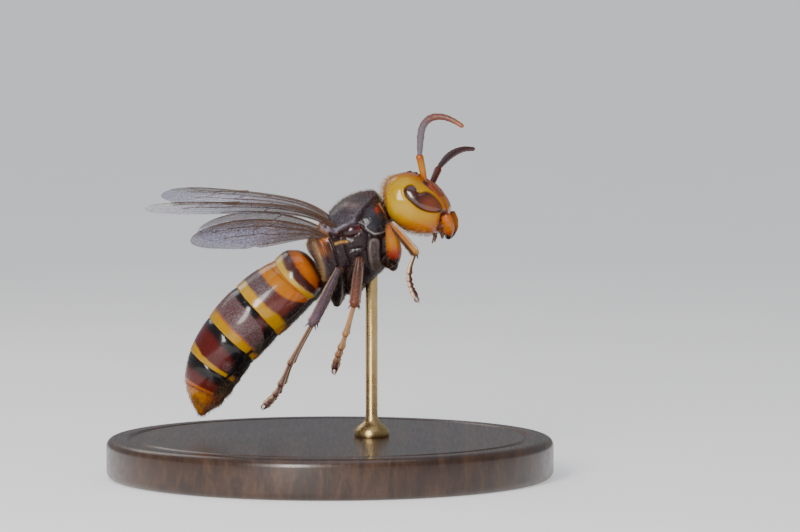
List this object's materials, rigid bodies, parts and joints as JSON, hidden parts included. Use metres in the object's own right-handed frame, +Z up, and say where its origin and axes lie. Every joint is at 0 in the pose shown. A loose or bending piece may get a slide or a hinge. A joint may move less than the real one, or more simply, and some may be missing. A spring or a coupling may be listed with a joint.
{
  "type": "asian giant hornet model",
  "caption": "Life-size still model of an asian giant hornet in flight, with spread wings and hanging legs, on a round base and rod.",
  "frame": {"origin": "middle of the underside of the stand's round base", "axes": "+Z up; the hornet faces +X; its right side faces -Y"},
  "size_m": [0.056, 0.056, 0.0456],
  "materials": {
    "head_shell": "glossy orange-yellow shell with fine pits and short pale hairs",
    "compound_eye": "smooth dark red-brown facets",
    "mandible": "orange, black along the teeth",
    "antenna": "orange stem, dull brown lash of ringed joints",
    "thorax_shell": "dark brown to black, finely pitted, with short brown hair",
    "gaster_shell": "smooth brown rings with orange and yellow bands",
    "leg_shell": "dark brown, the front legs orange, with fine bristles",
    "wing_membrane": "clear smoky brown film on brown veins",
    "stand_wood": "dark stained, satin lacquer",
    "stand_metal": "satin brass"
  },
  "bodies": {
    "root": {"head": "head_shell", "eye_right": "compound_eye", "eye_left": "compound_eye", "mandible_right": "mandible", "mandible_left": "mandible", "antenna_right_scape": "antenna", "antenna_right_flagellum": "antenna", "antenna_left_scape": "antenna", "antenna_left_flagellum": "antenna", "pronotum": "thorax_shell", "mesothorax": "thorax_shell", "scutellum": "thorax_shell", "propodeum": "thorax_shell", "tegula_right": "thorax_shell", "tegula_left": "thorax_shell", "gaster_1": "gaster_shell", "gaster_2": "gaster_shell", "gaster_3": "gaster_shell", "gaster_4": "gaster_shell", "gaster_5": "gaster_shell", "gaster_6": "gaster_shell", "leg_fore_right_femur": "leg_shell", "leg_fore_right_tibia": "leg_shell", "leg_fore_right_tarsus": "leg_shell", "leg_fore_left_femur": "leg_shell", "leg_fore_left_tibia": "leg_shell", "leg_fore_left_tarsus": "leg_shell", "leg_mid_right_femur": "leg_shell", "leg_mid_right_tibia": "leg_shell", "leg_mid_right_tarsus": "leg_shell", "leg_mid_left_femur": "leg_shell", "leg_mid_left_tibia": "leg_shell", "leg_mid_left_tarsus": "leg_shell", "leg_hind_right_femur": "leg_shell", "leg_hind_right_tibia": "leg_shell", "leg_hind_right_tarsus": "leg_shell", "leg_hind_left_femur": "leg_shell", "leg_hind_left_tibia": "leg_shell", "leg_hind_left_tarsus": "leg_shell", "forewing_right": "wing_membrane", "forewing_left": "wing_membrane", "hindwing_right": "wing_membrane", "hindwing_left": "wing_membrane", "stand_base": "stand_wood", "stand_rod": "stand_metal"}
  },
  "joints": []
}
